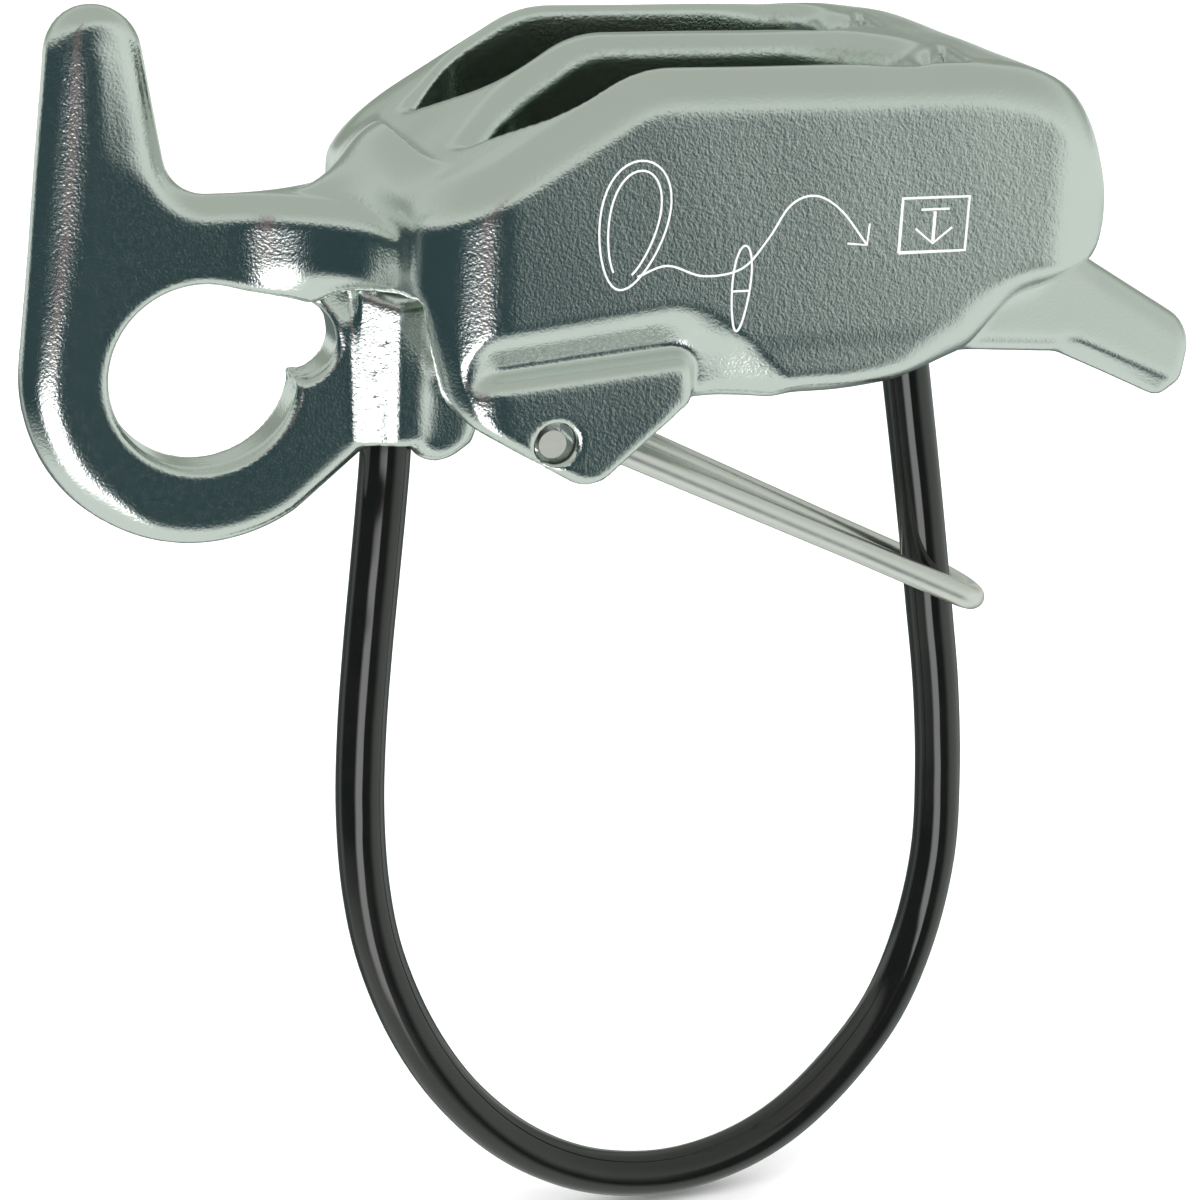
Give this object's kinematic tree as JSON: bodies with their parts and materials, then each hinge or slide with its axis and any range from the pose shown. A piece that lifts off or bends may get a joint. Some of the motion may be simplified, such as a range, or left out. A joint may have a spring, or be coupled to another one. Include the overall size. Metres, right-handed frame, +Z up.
{
  "type": "belay device",
  "caption": "Forged belay device with rope slots, an anchor eye, a thumb fin and lip, a wire bail that swings from its ears, and a coated cable keeper loop.",
  "frame": {"origin": "centre of the anchor eye, midway through the ring", "axes": "+X from the eye along the body towards the thumb lip, +Y across the two rope slots and along the eye's axis, +Z up, away from the keeper loop"},
  "size_m": [0.1078, 0.037, 0.1205],
  "materials": {
    "forging": "tumbled and polished hot forging with a fine hammered grain",
    "bail_wire": "bright drawn stainless wire",
    "steel_rope": "stranded steel rope",
    "black_coat": "smooth glossy black coating"
  },
  "bodies": {
    "forging": {"body": "forging", "keeper_core": "steel_rope", "keeper_sheath": "black_coat"},
    "wire_bail": {"bail": "bail_wire"}
  },
  "joints": [
    {"name": "bail_swing", "type": "hinge", "parent": "forging", "child": "wire_bail", "pos_m": [0.0252, 0, -0.0022], "axis": [0, -1, 0], "range_deg": [0, 20]}
  ]
}
